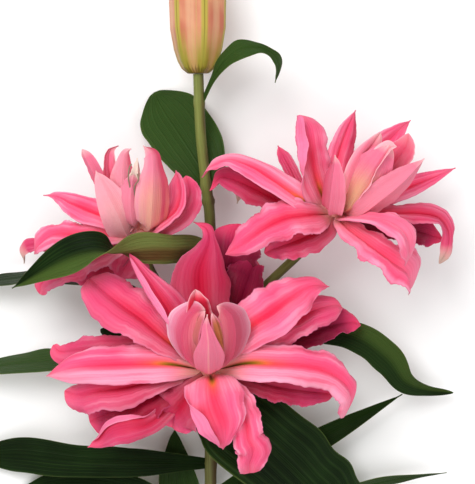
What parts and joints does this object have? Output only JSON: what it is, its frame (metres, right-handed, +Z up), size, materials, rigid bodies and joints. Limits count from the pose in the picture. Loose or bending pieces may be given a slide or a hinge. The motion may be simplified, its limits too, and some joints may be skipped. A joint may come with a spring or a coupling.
{
  "type": "cut lily stem",
  "caption": "Cut stem of a double pink lily lying on its side, with open many-petalled blooms, a closed bud and long waved leaves.",
  "frame": {"origin": "under the middle of the bounding box, on the surface the stem lies on", "axes": "+Y runs along the stalk from the cut end to the bud, +Z up from the surface, +X to the right as seen from above with the bud away"},
  "size_m": [0.3204, 0.4956, 0.1174],
  "materials": {
    "stalk": "matt, smooth plant stalk",
    "bud": "satin, closed bud with faint ribs",
    "petals": "satin petal, deep pink along the middle",
    "heart": "satin petal, pale pink",
    "leaf": "satin leaf with long veins"
  },
  "bodies": {
    "root": {"stalk": "stalk", "bud": "bud", "bloom_front_petals": "petals", "bloom_front_heart": "heart", "bloom_right_petals": "petals", "bloom_right_heart": "heart", "bloom_left_petals": "petals", "bloom_left_heart": "heart", "leaf_upper_wide": "leaf", "leaf_upper_small": "leaf", "leaf_across_left_bloom": "leaf", "leaf_left_high": "leaf", "leaf_left_middle": "leaf", "leaf_left_low": "leaf", "leaf_left_lowest": "leaf", "leaf_upright": "leaf", "leaf_right_wide": "leaf", "leaf_right_high": "leaf", "leaf_right_narrow": "leaf", "leaf_right_low": "leaf", "leaf_under": "leaf", "leaf_small_hook": "leaf"}
  },
  "joints": []
}
